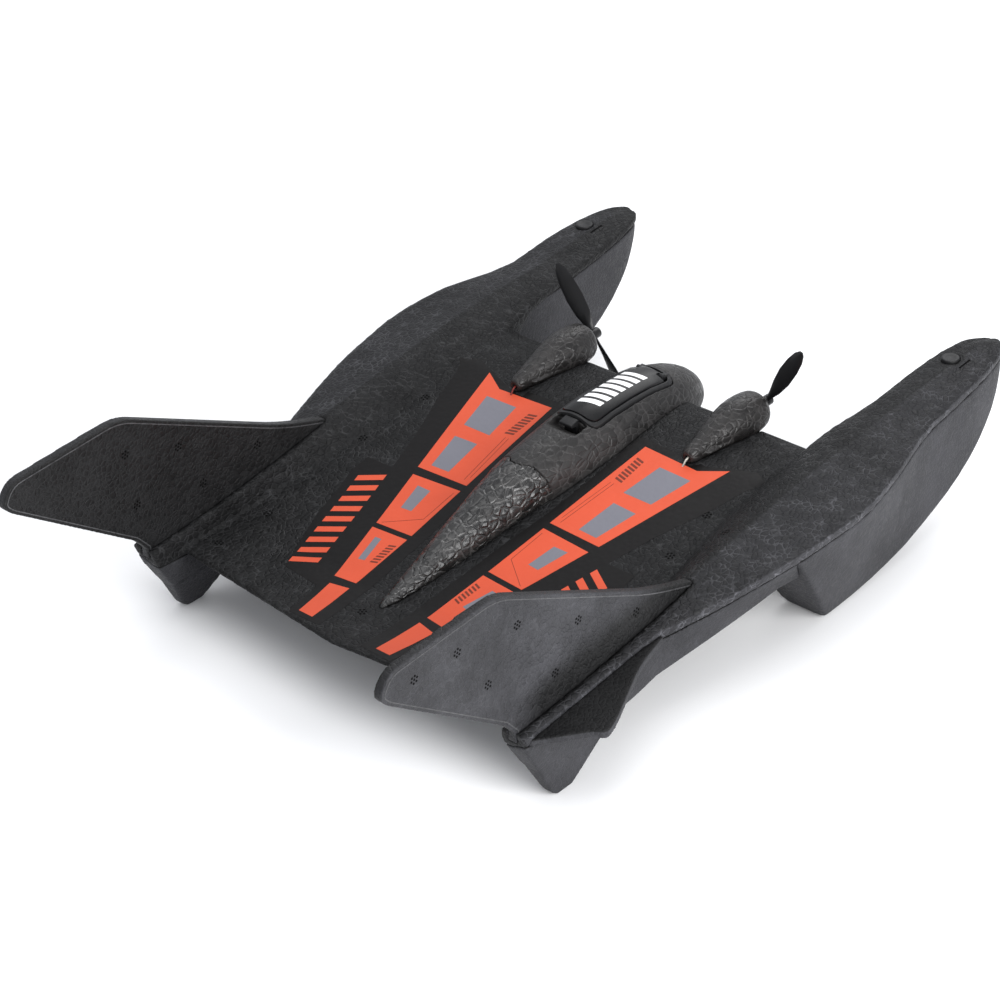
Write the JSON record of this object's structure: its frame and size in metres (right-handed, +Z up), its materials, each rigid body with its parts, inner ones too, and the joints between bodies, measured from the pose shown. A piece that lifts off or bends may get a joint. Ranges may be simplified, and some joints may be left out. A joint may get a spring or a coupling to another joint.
{
  "type": "rc flying wing",
  "caption": "Twin-motor foam flying wing with long side hulls, raked upper fins, lower skid fins, tractor propellers and a centre pod with a hinged battery hatch.",
  "frame": {"origin": "centre of the bounding box in plan, on the surface that the hulls and lower fins rest on", "axes": "+Y towards the tail, +Z up, +X to the side that is left of a viewer standing at the tail's right; the nose points along -Y"},
  "size_m": [0.272, 0.3998, 0.1086],
  "materials": {
    "black_foam": "expanded bead foam, satin skin",
    "hull_foam": "expanded bead foam, matt moulded skin",
    "gloss_cover": "glossy moulded cover with a printed mark",
    "black_plastic": "satin moulded plastic",
    "propeller_plastic": "semi-gloss nylon",
    "steel": "plated",
    "carbon_strip": "woven carbon strip",
    "cell_wrap": "shrink wrap",
    "white_plastic": "moulded",
    "circuit_board": "solder mask",
    "red_wire": "insulation",
    "pale_wire": "insulation",
    "red_lens": "clear red",
    "orange_film": "satin printed film",
    "grey_film": "satin printed film",
    "black_film": "satin printed film",
    "white_print": "print"
  },
  "bodies": {
    "airframe": {"battery": "cell_wrap", "battery_leads": "red_wire", "battery_plug": "white_plastic", "beam_left": "hull_foam", "beam_right": "hull_foam", "belly_cover": "black_plastic", "bow_plug_left": "black_plastic", "bow_plug_right": "black_plastic", "cover_screw_1": "steel", "cover_screw_2": "steel", "cover_screw_3": "steel", "cover_screw_4": "steel", "fin_left": "hull_foam", "fin_right": "hull_foam", "float_left": "hull_foam", "float_right": "hull_foam", "hatch_frame": "black_plastic", "hinge_pin": "steel", "lower_fin_left": "hull_foam", "lower_fin_right": "hull_foam", "motor_driver": "black_plastic", "motor_leads_left": "pale_wire", "motor_leads_right": "pale_wire", "motor_left": "steel", "motor_right": "steel", "motor_sleeve_left": "black_plastic", "motor_sleeve_right": "black_plastic", "nacelle_left": "black_foam", "nacelle_right": "black_foam", "pod_front": "black_foam", "pod_tail": "black_foam", "power_socket": "white_plastic", "radio_module": "steel", "receiver_board": "circuit_board", "spar_strip": "carbon_strip", "stabiliser_left": "hull_foam", "stabiliser_right": "hull_foam", "status_light": "red_lens", "switch_body": "black_plastic", "wing_shell": "black_foam"},
    "propeller_left": {"propeller_left": "propeller_plastic", "motor_shaft_left": "steel"},
    "propeller_right": {"propeller_right": "propeller_plastic", "motor_shaft_right": "steel"},
    "hatch": {"hatch": "gloss_cover"},
    "latch": {"hatch_latch": "black_plastic"},
    "switch": {"switch_slider": "black_plastic"}
  },
  "joints": [
    {"name": "propeller_left_spin", "type": "hinge", "parent": "airframe", "child": "propeller_left", "pos_m": [0.0497, -0.105, 0.0615], "axis": [0, 1, 0], "continuous": true},
    {"name": "propeller_right_spin", "type": "hinge", "parent": "airframe", "child": "propeller_right", "pos_m": [-0.0497, -0.105, 0.0615], "axis": [0, 1, 0], "continuous": true},
    {"name": "hatch_hinge", "type": "hinge", "parent": "airframe", "child": "hatch", "pos_m": [0, -0.0855, 0.0676], "axis": [1, 0, 0], "range_deg": [0, 70]},
    {"name": "latch_slide", "type": "slide", "parent": "airframe", "child": "latch", "axis": [0, 1, 0], "range_m": [0, 0.0012], "stiffness_N_per_m": 400},
    {"name": "switch_slide", "type": "slide", "parent": "airframe", "child": "switch", "axis": [0, 1, 0], "range_m": [0, 0.003]}
  ]
}
